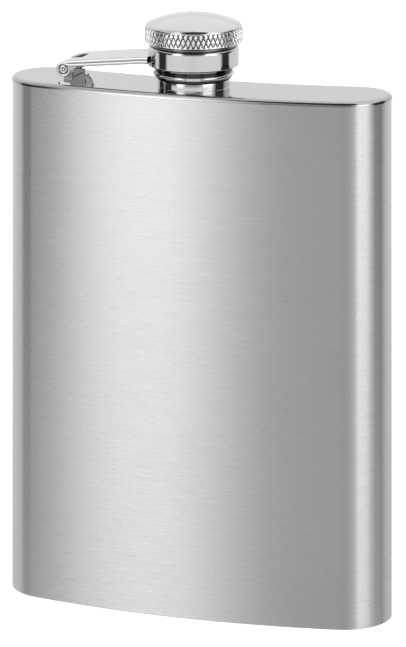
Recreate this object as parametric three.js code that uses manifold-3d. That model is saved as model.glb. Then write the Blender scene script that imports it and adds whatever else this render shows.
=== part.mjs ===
// Hip flask with a captive screw cap on a hinged arm.
// Millimetres, +Z up. The origin is on the base plane, in the middle of the object's
// bounding box: X runs along the width, Y along the thickness, and the convex front
// face looks towards -Y.
import * as THREE from 'three';
import { mergeVertices } from 'three/addons/utils/BufferGeometryUtils.js';
import Module from 'manifold-3d';

// ---- Driving dimensions ------------------------------------------------------

// Body section, seen from above: a kidney of tangent arcs.
const BODY_WIDTH = 92.5;
const BODY_THICKNESS = 20.2;
const FRONT_RADIUS = 198;          // convex front face
const BACK_RADIUS = 210;           // hollow back face, which follows a hip
const FRONT_CORNER_RADIUS = 11.5;
const BACK_CORNER_RADIUS = 8.5;

// Body shell.
const SLEEVE_HEIGHT = 119.6;
const SLEEVE_SHEET = 0.6;
const RIM_RADIUS = 1.1;            // quarter-round edge of the shoulder plate
const RIM_PROUD = 0.2;             // how far that edge stands outside the sleeve
const SHOULDER_SHEET = 0.8;
const PLUG_SHEET = 0.7;            // skirts that locate the end plates in the sleeve
const PLUG_DEPTH = 2.4;
const SEAM_GAP = 0.08;
const BASE_SHEET = 0.8;
const BASE_LAND = 4.0;             // flat rim that the flask stands on
const BASE_DISH = 0.7;             // depth of the pressed recess inside it

// Spout, heights above the shoulder plate.
const SPOUT_BORE_RADIUS = 5.9;
const SPOUT_TUBE_RADIUS = 6.95;
const SPOUT_FOOT_RADIUS = 8.5;
const SPOUT_FOOT_HEIGHT = 2.15;
const SPOUT_TOP = 8.5;
const SPOUT_SPIGOT = 1.6;          // reach below the plate's top face
const THREAD_WIRE = 0.5;           // radius of the rolled round thread
const THREAD_STAND = 0.45;         // how far a thread stands out of its tube
const THREAD_PITCH = 2.2;
const THREAD_TURNS = 1.5;
const SPOUT_THREAD_START = 4.2;

// Cap, heights above the shoulder plate.
const KNURL_RADIUS = 11.45;
const KNURL_DEPTH = 0.32;
const KNURL_COUNT = 48;            // diamonds round the cap
const KNURL_ROWS = 5;
const KNURL_BOTTOM = 10.85;
const KNURL_TOP = 13.8;
const HEAD_BOTTOM = 10.25;
const HEAD_LIP_RADIUS = 10.75;
const HEAD_SHEET = 0.9;
const DOME_TOP = 17.3;
const DOME_FILLET = 1.4;           // round edge between the knurled wall and the dome
const SKIRT_RADIUS = 8.95;
const SKIRT_BORE_RADIUS = 8.3;
const SKIRT_BOTTOM = 2.35;
const SKIRT_WEB_BOTTOM = 10.6;
const SKIRT_WEB_TOP = 11.3;
const SKIRT_FLANGE_BOTTOM = 10.35;
const SKIRT_THREAD_START = 3.6;
const GASKET_RADIUS = 7.9;
const GASKET_BOTTOM = 8.65;
const RING_GROOVE_RADIUS = 8.75;
const RING_BEAD_RADIUS = 9.5;
const RING_LIP_RADIUS = 9.2;       // upper edge, just under the collar
const RING_COVE_RADIUS = 8.97;     // hollow between the lip and the bead
const RING_BOTTOM = 2.5;
const RING_TOP = 4.65;
const RING_BEAD_BOTTOM = 3.0;
const RING_BEAD_TOP = 3.5;
const RING_COVE_HEIGHT = 4.0;
const RING_LIP_BOTTOM = 4.4;
const RING_GAP = 3.6;
const WASHER_BOTTOM = 10.04;
const WASHER_TOP = 10.2;
const WASHER_RADIUS = 10.15;

// Collar that carries the cap on the arm.
const COLLAR_RADIUS = 10.6;
const COLLAR_SHEET = 0.55;
const COLLAR_BORE_RADIUS = 9.1;
const COLLAR_BOTTOM = 4.9;
const COLLAR_TOP = 10.0;
const COLLAR_LIP = 0.7;
const COLLAR_CHAMFER = 0.6;

// Arm and hinge. The hinge axis runs along Y.
const HINGE_X = -30.05;
const HINGE_HEIGHT = 3.4;          // above the shoulder plate
const ARM_WIDTH = 12.7;
const ARM_THICKNESS = 1.6;         // sheet folded back on itself
const ARM_RISE = 0.4;              // the strip's top above the rolled knuckle
const ARM_EDGE = 0.3;
const ARM_COLLAR_TOP = 7.4;        // top face where the arm enters the collar
const ARM_RING_RADIUS = 9.95;
const ARM_SLOT_GAP = 0.35;         // clearance round the arm in the collar wall
const KNUCKLE_RADIUS = 1.77;
const KNUCKLE_BORE_RADIUS = 1.13;
const PIN_RADIUS = 1.05;
const PIN_LENGTH = 12.9;
const NOTCH_REACH = 3.3;           // length of the arm's notch, from the hinge axis

// Hinge bracket: a foot, a lug for the pin and an upright ear that the arm rests on.
const LUG_WIDTH = 4.2;
const LUG_CLEARANCE = 0.25;
const LUG_RADIUS = 1.55;
const LUG_LEG_RIGHT = 0.7;         // right side of the leg, from the hinge axis
const FOOT_SHEET = 0.4;
const FOOT_LEFT = -31.6;
const FOOT_RIGHT = -28.0;
const FOOT_STRIP_DEPTH = 1.8;      // front strip of the foot that carries the ear
const EAR_SHEET = 0.8;
const EAR_LEFT = -28.1;
const EAR_RIGHT = -22.85;
const EAR_HEIGHT = 2.2;
const EAR_CORNER_RADIUS = 1.6;
const EAR_NECK_HEIGHT = 1.0;
const STOP_LEFT = -27.4;
const STOP_RIGHT = -24.8;
const STOP_HEIGHT = 3.8;

// Facets.
const ARC_STEPS = 6;               // half the segments of each body arc
const ROUND_STEPS = 40;            // round parts about the spout axis
const SMALL_ROUND_STEPS = 20;      // hinge parts
const THREAD_STEPS = 24;           // per turn

// ---- Derived places ----------------------------------------------------------

// Centres of the corner arcs, from the tangency of neighbouring arcs.
const frontCentreY = -BODY_THICKNESS / 2 + FRONT_RADIUS;
const backCentreY = BODY_THICKNESS / 2 + BACK_RADIUS;
const frontCornerX = BODY_WIDTH / 2 - FRONT_CORNER_RADIUS;
const backCornerX = BODY_WIDTH / 2 - BACK_CORNER_RADIUS;
const frontCornerY = frontCentreY
  - Math.sqrt((FRONT_RADIUS - FRONT_CORNER_RADIUS) ** 2 - frontCornerX ** 2);
const backCornerY = backCentreY
  - Math.sqrt((BACK_RADIUS + BACK_CORNER_RADIUS) ** 2 - backCornerX ** 2);
const frontArcHalfAngle = Math.atan2(frontCornerX, frontCentreY - frontCornerY);
const backArcHalfAngle = Math.atan2(backCornerX, backCentreY - backCornerY);

// The spout axis stands at the body's mid-thickness point. The cap reaches furthest
// forwards and the rim's back corners furthest back, so everything shifts by this
// much to bring the middle of that depth to y = 0.
const rimBackY = backCornerY + BACK_CORNER_RADIUS + RIM_PROUD;
const shiftY = -(rimBackY - KNURL_RADIUS) / 2;

const plateTop = SLEEVE_HEIGHT + RIM_RADIUS;

// ---- Materials ---------------------------------------------------------------

const brushedSteel = new THREE.MeshStandardMaterial({
  color: 0xb9bbbd, roughness: 0.35, metalness: 1,
});
const polishedSteel = new THREE.MeshStandardMaterial({
  color: 0xd6d7d9, roughness: 0.1, metalness: 1,
});
const siliconeRubber = new THREE.MeshStandardMaterial({
  color: 0xe6e4de, roughness: 0.6, metalness: 0,
});

// ---- Solid helpers -----------------------------------------------------------

const wasm = await Module();
wasm.setup();

function toSolid(geometry) {
  const bare = geometry.clone();
  bare.deleteAttribute('normal');
  bare.deleteAttribute('uv');
  const merged = mergeVertices(bare, 1e-5);
  const mesh = new wasm.Mesh({
    numProp: 3,
    vertProperties: new Float32Array(merged.attributes.position.array),
    triVerts: new Uint32Array(merged.index.array),
  });
  return new wasm.Manifold(mesh);
}

function toGeometry(solid) {
  const mesh = solid.getMesh();
  const geometry = new THREE.BufferGeometry();
  geometry.setAttribute('position', new THREE.BufferAttribute(mesh.vertProperties, 3));
  geometry.setIndex(new THREE.BufferAttribute(mesh.triVerts, 1));
  geometry.computeVertexNormals();
  return geometry;
}

function joined(...geometries) {
  return geometries.map(toSolid).reduce((whole, solid) => whole.add(solid));
}

function cut(solid, ...tools) {
  return tools.map(toSolid).reduce((rest, tool) => rest.subtract(tool), solid);
}

// Solid of revolution about Z. profile lists [radius, height] pairs, anticlockwise
// with the radius to the right, and closes on itself or ends on the axis.
function turned(profile, steps = ROUND_STEPS) {
  const points = profile.map(([radius, height]) => new THREE.Vector2(radius, height));
  const geometry = new THREE.LatheGeometry(points, steps);
  geometry.rotateX(Math.PI / 2);
  return geometry;
}

function closedRing(profile) {
  return turned([...profile, profile[0]]);
}

function disc(radius, bottom, top, steps = ROUND_STEPS) {
  const geometry = new THREE.CylinderGeometry(radius, radius, top - bottom, steps);
  geometry.rotateX(Math.PI / 2);
  geometry.translate(0, 0, (top + bottom) / 2);
  return geometry;
}

// Round bar or hole along Y, centred on y.
function crossBar(radius, length, x, y, z) {
  const geometry = new THREE.CylinderGeometry(radius, radius, length, SMALL_ROUND_STEPS);
  geometry.translate(x, y, z);
  return geometry;
}

function block(x0, x1, y0, y1, z0, z1) {
  const geometry = new THREE.BoxGeometry(x1 - x0, y1 - y0, z1 - z0);
  geometry.translate((x0 + x1) / 2, (y0 + y1) / 2, (z0 + z1) / 2);
  return geometry;
}

// Outline in the XZ plane, extruded along Y over the given width, centred on y = 0.
function strip(shape, width, bevel = 0) {
  const geometry = new THREE.ExtrudeGeometry(shape, {
    depth: width - 2 * bevel,
    curveSegments: 4,
    bevelEnabled: bevel > 0,
    bevelThickness: bevel,
    bevelSize: bevel,
    bevelOffset: -bevel,
    bevelSegments: 2,
  });
  geometry.rotateX(Math.PI / 2);
  geometry.translate(0, width / 2 - bevel, 0);
  return geometry;
}

// ---- Body section ------------------------------------------------------------

// The body's kidney outline, moved inwards by inset.
function kidney(inset) {
  const front = FRONT_RADIUS - inset;
  const back = BACK_RADIUS + inset;
  const frontCorner = FRONT_CORNER_RADIUS - inset;
  const backCorner = BACK_CORNER_RADIUS - inset;
  const down = -Math.PI / 2;
  const shape = new THREE.Shape();
  shape.absarc(0, frontCentreY, front, down - frontArcHalfAngle, down + frontArcHalfAngle);
  shape.absarc(frontCornerX, frontCornerY, frontCorner, down + frontArcHalfAngle, 0);
  shape.absarc(backCornerX, backCornerY, backCorner, 0, -down + backArcHalfAngle);
  shape.absarc(0, backCentreY, back, down + backArcHalfAngle, down - backArcHalfAngle, true);
  shape.absarc(-backCornerX, backCornerY, backCorner, -down - backArcHalfAngle, Math.PI);
  shape.absarc(-frontCornerX, frontCornerY, frontCorner, Math.PI, 3 * -down - frontArcHalfAngle);
  return shape;
}

function kidneySlab(inset, bottom, top) {
  const geometry = new THREE.ExtrudeGeometry(kidney(inset), {
    depth: top - bottom,
    curveSegments: ARC_STEPS,
    bevelEnabled: false,
  });
  geometry.translate(0, 0, bottom);
  return geometry;
}

function kidneyTube(outerInset, innerInset, bottom, top) {
  return cut(
    toSolid(kidneySlab(outerInset, bottom, top)),
    kidneySlab(innerInset, bottom - 1, top + 1),
  );
}

// Slab whose edges roll over by a quarter circle at both faces.
function roundedKidneySlab(inset, bottom, top, radius, segments) {
  const geometry = new THREE.ExtrudeGeometry(kidney(inset), {
    depth: top - bottom - 2 * radius,
    curveSegments: ARC_STEPS,
    bevelEnabled: true,
    bevelThickness: radius,
    bevelSize: radius,
    bevelOffset: -radius,
    bevelSegments: segments,
  });
  geometry.translate(0, 0, bottom + radius);
  return geometry;
}

// ---- Body parts --------------------------------------------------------------

function bodySleeve() {
  return kidneyTube(0, SLEEVE_SHEET, 0, SLEEVE_HEIGHT);
}

// Pressed pan: a flat top with a rolled rim, and a skirt that drops into the sleeve.
function shoulderPlate() {
  const reach = BODY_WIDTH;
  const plugInset = SLEEVE_SHEET + SEAM_GAP;
  const roundedSlab = toSolid(
    roundedKidneySlab(-RIM_PROUD, plateTop - 4 * RIM_RADIUS, plateTop, RIM_RADIUS, 4),
  );
  const above = toSolid(block(-reach, reach, -reach, reach, SLEEVE_HEIGHT, plateTop + 1));
  const skirt = kidneyTube(
    plugInset, plugInset + PLUG_SHEET, SLEEVE_HEIGHT - PLUG_DEPTH, SLEEVE_HEIGHT + 0.1,
  );
  const pocket = kidneySlab(
    plugInset + PLUG_SHEET, SLEEVE_HEIGHT - 1, plateTop - SHOULDER_SHEET,
  );
  const hole = disc(SPOUT_TUBE_RADIUS + SEAM_GAP, SLEEVE_HEIGHT - 1, plateTop + 1);
  return cut(roundedSlab.intersect(above).add(skirt), pocket, hole);
}

// Flat plate flush with the sleeve's lower edge, with a pressed recess in its face.
function basePlate() {
  const plugInset = SLEEVE_SHEET + SEAM_GAP;
  const dishInset = plugInset + BASE_LAND;
  const land = toSolid(kidneySlab(plugInset, 0, BASE_SHEET));
  const skirt = kidneyTube(plugInset, plugInset + PLUG_SHEET, 0, PLUG_DEPTH);
  const raised = toSolid(
    kidneySlab(dishInset - BASE_SHEET, BASE_SHEET / 2, BASE_SHEET + BASE_DISH),
  );
  const dish = kidneySlab(dishInset, -1, BASE_DISH);
  return cut(land.add(skirt).add(raised), dish);
}

// ---- Threads -----------------------------------------------------------------

class Helix extends THREE.Curve {
  constructor(radius, start, pitch, turns) {
    super();
    this.radius = radius;
    this.start = start;
    this.pitch = pitch;
    this.turns = turns;
  }

  getPoint(t, target = new THREE.Vector3()) {
    const angle = 2 * Math.PI * this.turns * t;
    return target.set(
      this.radius * Math.cos(angle),
      this.radius * Math.sin(angle),
      this.start + this.pitch * this.turns * t,
    );
  }
}

function threadWire(radius, start) {
  const section = new THREE.Shape();
  section.absarc(0, 0, THREAD_WIRE, 0, 2 * Math.PI);
  return new THREE.ExtrudeGeometry(section, {
    steps: Math.round(THREAD_TURNS * THREAD_STEPS),
    curveSegments: 3,
    extrudePath: new Helix(radius, plateTop + start, THREAD_PITCH, THREAD_TURNS),
  });
}

// ---- Spout -------------------------------------------------------------------

function neckSpout() {
  const lip = 0.3;
  const tube = closedRing([
    [SPOUT_BORE_RADIUS, plateTop - SPOUT_SPIGOT],
    [SPOUT_TUBE_RADIUS, plateTop - SPOUT_SPIGOT],
    [SPOUT_TUBE_RADIUS, plateTop],
    [SPOUT_FOOT_RADIUS, plateTop],
    [SPOUT_FOOT_RADIUS, plateTop + SPOUT_FOOT_HEIGHT - lip],
    [SPOUT_FOOT_RADIUS - lip, plateTop + SPOUT_FOOT_HEIGHT],
    [SPOUT_TUBE_RADIUS, plateTop + SPOUT_FOOT_HEIGHT],
    [SPOUT_TUBE_RADIUS, plateTop + SPOUT_TOP - lip],
    [SPOUT_TUBE_RADIUS - lip, plateTop + SPOUT_TOP],
    [SPOUT_BORE_RADIUS, plateTop + SPOUT_TOP],
  ]);
  const wireRadius = SPOUT_TUBE_RADIUS + THREAD_STAND - THREAD_WIRE;
  return joined(tube, threadWire(wireRadius, SPOUT_THREAD_START));
}

// ---- Cap ---------------------------------------------------------------------

// Points from a wall's top over a round edge and a tangent dome to the axis.
function domeArc(wallRadius, wallTop, apex, fillet, filletSteps, domeSteps) {
  const reach = wallRadius - fillet;
  const rise = apex - wallTop;
  const sphere = (reach ** 2 + rise ** 2 - fillet ** 2) / (2 * (rise - fillet));
  const tangency = Math.atan2(reach, sphere - rise);
  const points = [];
  for (let i = 0; i < filletSteps; i += 1) {
    const angle = Math.PI / 2 + (tangency - Math.PI / 2) * (i / filletSteps);
    points.push([reach + fillet * Math.sin(angle), wallTop + fillet * Math.cos(angle)]);
  }
  for (let i = 0; i <= domeSteps; i += 1) {
    const angle = tangency * (1 - i / domeSteps);
    points.push([sphere * Math.sin(angle), apex - sphere * (1 - Math.cos(angle))]);
  }
  return points;
}

// Band with crossed grooves: alternate vertices of a fine grid sink by the depth.
function knurledBand() {
  const columns = 2 * KNURL_COUNT;
  const height = KNURL_TOP - KNURL_BOTTOM;
  const band = new THREE.CylinderGeometry(
    KNURL_RADIUS, KNURL_RADIUS, height, columns, KNURL_ROWS,
  );
  band.rotateX(Math.PI / 2);
  const position = band.attributes.position;
  for (let i = 0; i < position.count; i += 1) {
    const x = position.getX(i);
    const y = position.getY(i);
    const onWall = Math.hypot(x, y) > KNURL_RADIUS / 2;
    const row = Math.round((position.getZ(i) / height + 0.5) * KNURL_ROWS);
    const column = Math.round((Math.atan2(y, x) / (2 * Math.PI) + 1) * columns);
    if (onWall && (row + column) % 2 === 1) {
      const scale = 1 - KNURL_DEPTH / KNURL_RADIUS;
      position.setXY(i, x * scale, y * scale);
    }
  }
  band.translate(0, 0, plateTop + (KNURL_TOP + KNURL_BOTTOM) / 2);
  return band;
}

// Pressed cover: a domed shell with a knurled wall, open at the bottom.
function capHead() {
  const root = KNURL_RADIUS - KNURL_DEPTH;
  const overlap = 0.2;
  const dome = domeArc(KNURL_RADIUS, KNURL_TOP, DOME_TOP, DOME_FILLET, 3, 5);
  const outside = turned([
    [0, plateTop + HEAD_BOTTOM],
    [HEAD_LIP_RADIUS, plateTop + HEAD_BOTTOM],
    [root, plateTop + KNURL_BOTTOM + overlap],
    [root, plateTop + KNURL_TOP - overlap],
    ...dome.map(([radius, height]) => [radius, plateTop + height]),
  ]);
  const innerRadius = root - HEAD_SHEET;
  const innerDome = domeArc(
    innerRadius, KNURL_TOP, DOME_TOP - HEAD_SHEET, DOME_FILLET - HEAD_SHEET, 1, 4,
  );
  const cavity = turned([
    [0, plateTop + HEAD_BOTTOM - 1],
    [innerRadius, plateTop + HEAD_BOTTOM - 1],
    ...innerDome.map(([radius, height]) => [radius, plateTop + height]),
  ]);
  return cut(toSolid(outside).add(toSolid(knurledBand())), cavity);
}

// Threaded cup inside the head: a tube with a closed top and a flange.
function capSkirt() {
  const flangeRadius = KNURL_RADIUS - KNURL_DEPTH - HEAD_SHEET - 0.05;
  const shell = turned([
    [0, plateTop + SKIRT_WEB_BOTTOM],
    [SKIRT_BORE_RADIUS, plateTop + SKIRT_WEB_BOTTOM],
    [SKIRT_BORE_RADIUS, plateTop + SKIRT_BOTTOM],
    [SKIRT_RADIUS - 0.2, plateTop + SKIRT_BOTTOM],
    [RING_GROOVE_RADIUS, plateTop + SKIRT_BOTTOM + 0.05],
    [RING_GROOVE_RADIUS, plateTop + RING_TOP + 0.05],
    [SKIRT_RADIUS, plateTop + RING_TOP + 0.05],
    [SKIRT_RADIUS, plateTop + SKIRT_FLANGE_BOTTOM],
    [flangeRadius, plateTop + SKIRT_FLANGE_BOTTOM],
    [flangeRadius, plateTop + SKIRT_WEB_TOP],
    [0, plateTop + SKIRT_WEB_TOP],
  ]);
  const wireRadius = SKIRT_BORE_RADIUS - THREAD_STAND + THREAD_WIRE;
  const thread = toSolid(threadWire(wireRadius, SKIRT_THREAD_START));
  const inside = toSolid(disc(SKIRT_BORE_RADIUS + 0.2, plateTop, plateTop + SKIRT_WEB_TOP));
  return toSolid(shell).add(thread.intersect(inside));
}

function capGasket() {
  const crown = 0.3;
  return toSolid(turned([
    [0, plateTop + GASKET_BOTTOM],
    [GASKET_RADIUS - crown, plateTop + GASKET_BOTTOM],
    [GASKET_RADIUS, plateTop + GASKET_BOTTOM + crown],
    [GASKET_RADIUS, plateTop + SKIRT_WEB_BOTTOM - 0.05],
    [0, plateTop + SKIRT_WEB_BOTTOM - 0.05],
  ]));
}

// Split snap ring that keeps the collar on the skirt: a lip, a hollow and a bead.
function retainingRing() {
  const inner = RING_GROOVE_RADIUS + 0.05;
  const ring = toSolid(closedRing([
    [inner, plateTop + RING_BOTTOM],
    [inner + 0.1, plateTop + RING_BOTTOM],
    [RING_BEAD_RADIUS, plateTop + RING_BEAD_BOTTOM],
    [RING_BEAD_RADIUS, plateTop + RING_BEAD_TOP],
    [RING_COVE_RADIUS, plateTop + RING_COVE_HEIGHT],
    [RING_LIP_RADIUS, plateTop + RING_LIP_BOTTOM],
    [RING_LIP_RADIUS, plateTop + RING_TOP],
    [inner, plateTop + RING_TOP],
  ]));
  const gap = block(
    -RING_GAP / 2, RING_GAP / 2, -2 * RING_BEAD_RADIUS, 0,
    plateTop + RING_BOTTOM - 1, plateTop + RING_TOP + 1,
  );
  return cut(ring, gap);
}

function slipWasher() {
  return toSolid(closedRing([
    [SKIRT_RADIUS + 0.1, plateTop + WASHER_BOTTOM],
    [WASHER_RADIUS, plateTop + WASHER_BOTTOM],
    [WASHER_RADIUS, plateTop + WASHER_TOP],
    [SKIRT_RADIUS + 0.1, plateTop + WASHER_TOP],
  ]));
}

// ---- Arm, collar and hinge ---------------------------------------------------

// Channel-section ring, open towards the cap skirt, with a window for the arm.
function swivelCollar() {
  const inside = COLLAR_RADIUS - COLLAR_SHEET;
  const bottom = plateTop + COLLAR_BOTTOM;
  const top = plateTop + COLLAR_TOP;
  const channel = toSolid(closedRing([
    [COLLAR_BORE_RADIUS, bottom],
    [COLLAR_RADIUS - COLLAR_CHAMFER, bottom],
    [COLLAR_RADIUS, bottom + COLLAR_CHAMFER],
    [COLLAR_RADIUS, top - COLLAR_CHAMFER / 2],
    [COLLAR_RADIUS - COLLAR_CHAMFER / 2, top],
    [COLLAR_BORE_RADIUS, top],
    [COLLAR_BORE_RADIUS, top - COLLAR_LIP],
    [inside, top - COLLAR_LIP],
    [inside, bottom + COLLAR_LIP],
    [COLLAR_BORE_RADIUS, bottom + COLLAR_LIP],
  ]));
  const halfWidth = ARM_WIDTH / 2 + ARM_SLOT_GAP;
  const window = block(
    -2 * COLLAR_RADIUS, 0, -halfWidth, halfWidth,
    plateTop + ARM_COLLAR_TOP - ARM_THICKNESS - ARM_SLOT_GAP,
    plateTop + ARM_COLLAR_TOP + ARM_SLOT_GAP,
  );
  return cut(channel, window);
}

// Folded strip, rolled round the pin at one end, with a ring inside the collar.
function swingArm() {
  const axisZ = plateTop + HINGE_HEIGHT;
  const ringTop = plateTop + ARM_COLLAR_TOP;
  const stripTop = axisZ + KNUCKLE_RADIUS + ARM_RISE;
  const levelX = -COLLAR_RADIUS - 0.2;
  const side = new THREE.Shape();
  side.moveTo(HINGE_X, axisZ + 0.2);
  side.lineTo(HINGE_X + KNUCKLE_RADIUS, axisZ + 0.4);
  side.lineTo(HINGE_X + KNUCKLE_RADIUS + 0.3, stripTop - ARM_THICKNESS + 0.1);
  side.lineTo(levelX, ringTop - ARM_THICKNESS);
  side.lineTo(-COLLAR_BORE_RADIUS, ringTop - ARM_THICKNESS);
  side.lineTo(-COLLAR_BORE_RADIUS, ringTop);
  side.lineTo(levelX, ringTop);
  side.lineTo(HINGE_X + 1.0, stripTop);
  side.lineTo(HINGE_X - 0.4, axisZ + KNUCKLE_RADIUS - 0.1);
  side.closePath();
  const knuckle = crossBar(KNUCKLE_RADIUS, ARM_WIDTH, HINGE_X, 0, axisZ);
  const ring = disc(ARM_RING_RADIUS, ringTop - ARM_THICKNESS, ringTop);
  const notch = LUG_WIDTH / 2 + LUG_CLEARANCE;
  const notchBack = KNUCKLE_RADIUS + LUG_CLEARANCE;
  return cut(
    joined(strip(side, ARM_WIDTH, ARM_EDGE), knuckle, ring),
    crossBar(KNUCKLE_BORE_RADIUS, 2 * ARM_WIDTH, HINGE_X, 0, axisZ),
    disc(COLLAR_BORE_RADIUS, ringTop - 2 * ARM_THICKNESS, ringTop + ARM_THICKNESS),
    block(
      HINGE_X - notchBack, HINGE_X + NOTCH_REACH, -notch, notch,
      axisZ - notchBack, axisZ + 2 * notchBack,
    ),
  );
}

// Upright front ear of the bracket: a low arm with a round corner, and a stop.
function earShape() {
  const ear = new THREE.Shape();
  ear.moveTo(EAR_LEFT, plateTop);
  ear.lineTo(EAR_RIGHT, plateTop);
  ear.lineTo(EAR_RIGHT, plateTop + EAR_HEIGHT - EAR_CORNER_RADIUS);
  ear.absarc(
    EAR_RIGHT - EAR_CORNER_RADIUS, plateTop + EAR_HEIGHT - EAR_CORNER_RADIUS,
    EAR_CORNER_RADIUS, 0, Math.PI / 2,
  );
  ear.lineTo(STOP_RIGHT, plateTop + EAR_HEIGHT);
  ear.lineTo(STOP_RIGHT, plateTop + STOP_HEIGHT);
  ear.lineTo(STOP_LEFT, plateTop + STOP_HEIGHT);
  ear.lineTo(STOP_LEFT, plateTop + EAR_NECK_HEIGHT + STOP_LEFT - EAR_LEFT);
  ear.lineTo(EAR_LEFT, plateTop + EAR_NECK_HEIGHT);
  ear.closePath();
  return ear;
}

// Stamped bracket welded to the shoulder under the arm.
function hingeBracket() {
  const axisZ = plateTop + HINGE_HEIGHT;
  const halfWidth = ARM_WIDTH / 2;
  const halfLug = LUG_WIDTH / 2;
  const ear = strip(earShape(), EAR_SHEET);
  ear.translate(0, EAR_SHEET / 2 - halfWidth, 0);
  return cut(
    joined(
      block(FOOT_LEFT, FOOT_RIGHT, -halfWidth, halfWidth, plateTop, plateTop + FOOT_SHEET),
      block(
        FOOT_LEFT, EAR_RIGHT, -halfWidth, FOOT_STRIP_DEPTH - halfWidth,
        plateTop, plateTop + FOOT_SHEET,
      ),
      ear,
      block(
        HINGE_X - LUG_RADIUS + 0.1, HINGE_X + LUG_LEG_RIGHT, -halfLug, halfLug,
        plateTop + FOOT_SHEET / 2, axisZ,
      ),
      crossBar(LUG_RADIUS, LUG_WIDTH, HINGE_X, 0, axisZ),
    ),
    crossBar(KNUCKLE_BORE_RADIUS, 2 * ARM_WIDTH, HINGE_X, 0, axisZ),
  );
}

function hingePin() {
  return toSolid(crossBar(PIN_RADIUS, PIN_LENGTH, HINGE_X, 0, plateTop + HINGE_HEIGHT));
}

// ---- Assembly ----------------------------------------------------------------

function part(name, solid, material) {
  const mesh = new THREE.Mesh(toGeometry(solid), material);
  mesh.name = name;
  return mesh;
}

const flask = new THREE.Group();
flask.name = 'hip_flask';
flask.position.y = shiftY;

flask.add(part('body_sleeve', bodySleeve(), brushedSteel));
flask.add(part('shoulder_plate', shoulderPlate(), polishedSteel));
flask.add(part('base_plate', basePlate(), brushedSteel));
flask.add(part('neck_spout', neckSpout(), polishedSteel));
flask.add(part('hinge_bracket', hingeBracket(), polishedSteel));
flask.add(part('hinge_pin', hingePin(), polishedSteel));
flask.add(part('swing_arm', swingArm(), polishedSteel));
flask.add(part('swivel_collar', swivelCollar(), polishedSteel));
flask.add(part('cap_head', capHead(), polishedSteel));
flask.add(part('cap_skirt', capSkirt(), polishedSteel));
flask.add(part('cap_gasket', capGasket(), siliconeRubber));
flask.add(part('retaining_ring', retainingRing(), polishedSteel));
flask.add(part('slip_washer', slipWasher(), polishedSteel));

export default flask;
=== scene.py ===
"""Looks of the hip flask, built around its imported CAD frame.

Lengths inside this script are millimetres until a mesh is written; Blender's own
units are metres. Heights called "above the shoulder" count from the top of the
shoulder plate. The front face looks towards -Y.
"""
import math

import bmesh
import bpy
from mathutils import Matrix, Vector


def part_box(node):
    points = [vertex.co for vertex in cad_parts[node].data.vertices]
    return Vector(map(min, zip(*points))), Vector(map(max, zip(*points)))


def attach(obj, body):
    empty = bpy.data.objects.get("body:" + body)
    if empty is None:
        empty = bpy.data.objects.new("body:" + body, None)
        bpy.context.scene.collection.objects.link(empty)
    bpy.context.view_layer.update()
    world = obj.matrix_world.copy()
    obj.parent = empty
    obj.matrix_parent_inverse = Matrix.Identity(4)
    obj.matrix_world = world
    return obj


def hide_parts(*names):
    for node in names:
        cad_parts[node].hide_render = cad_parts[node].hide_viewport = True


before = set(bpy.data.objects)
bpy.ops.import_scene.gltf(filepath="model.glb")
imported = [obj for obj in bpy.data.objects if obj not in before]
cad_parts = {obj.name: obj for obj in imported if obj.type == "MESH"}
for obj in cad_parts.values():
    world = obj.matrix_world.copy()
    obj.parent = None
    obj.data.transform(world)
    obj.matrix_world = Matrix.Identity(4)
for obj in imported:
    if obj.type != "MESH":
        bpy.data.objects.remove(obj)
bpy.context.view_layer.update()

MM = 0.001
MERGE_DISTANCE = 1e-7              # in metres

# ---- Places read from the frame ----


def node_box(node):
    """Lowest and highest corner of a CAD node, in millimetres."""
    low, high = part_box(node)
    return Vector(low) / MM, Vector(high) / MM


SLEEVE_LOW, SLEEVE_HIGH = node_box("body_sleeve")
SPOUT_LOW, SPOUT_HIGH = node_box("neck_spout")
HEAD_LOW, HEAD_HIGH = node_box("cap_head")
COLLAR_LOW, COLLAR_HIGH = node_box("swivel_collar")
PIN_LOW, PIN_HIGH = node_box("hinge_pin")
BRACKET_LOW, BRACKET_HIGH = node_box("hinge_bracket")

SHOULDER_TOP = node_box("shoulder_plate")[1].z
SEAM_HEIGHT = SLEEVE_HIGH.z
AXIS_Y = (HEAD_LOW.y + HEAD_HIGH.y) / 2
HINGE_X = (PIN_LOW.x + PIN_HIGH.x) / 2
HINGE_Z = (PIN_LOW.z + PIN_HIGH.z) / 2

# ---- Driving dimensions of the body, the same as the CAD's ----

BODY_WIDTH = SLEEVE_HIGH.x - SLEEVE_LOW.x
BODY_THICKNESS = 20.2
FRONT_RADIUS = 198
BACK_RADIUS = 210
FRONT_CORNER_RADIUS = 11.5
BACK_CORNER_RADIUS = 8.5
SLEEVE_SHEET = 0.6
RIM_RADIUS = SHOULDER_TOP - SEAM_HEIGHT
RIM_PROUD = 0.2
SEAM_GAP = 0.08
PLUG_SHEET = 0.7                   # skirt of either end plate, inside the sleeve
PLUG_DEPTH = 2.4
PLUG_CORNER = 0.6                  # slope from the skirt to the plate
SHOULDER_SHEET = 0.8
BASE_SHEET = 0.8
BASE_LAND = 4.0
BASE_DISH = 0.7

# Sizes that both a piece and its finish use; heights are above the shoulder.
KNURL_RADIUS = (HEAD_HIGH.x - HEAD_LOW.x) / 2
KNURL_DEPTH = 0.32
KNURL_TOP = 13.8
KNURL_FADE = 0.4                   # the grooves run out on the round edge above
RING_TOP = 4.65
RING_BEAD_HEIGHT = 3.4
FOOT_SHEET = 0.4
CREASE_X = -24.5
EAR_LEFT = -28.1

# ---- Mesh helpers ----


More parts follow.
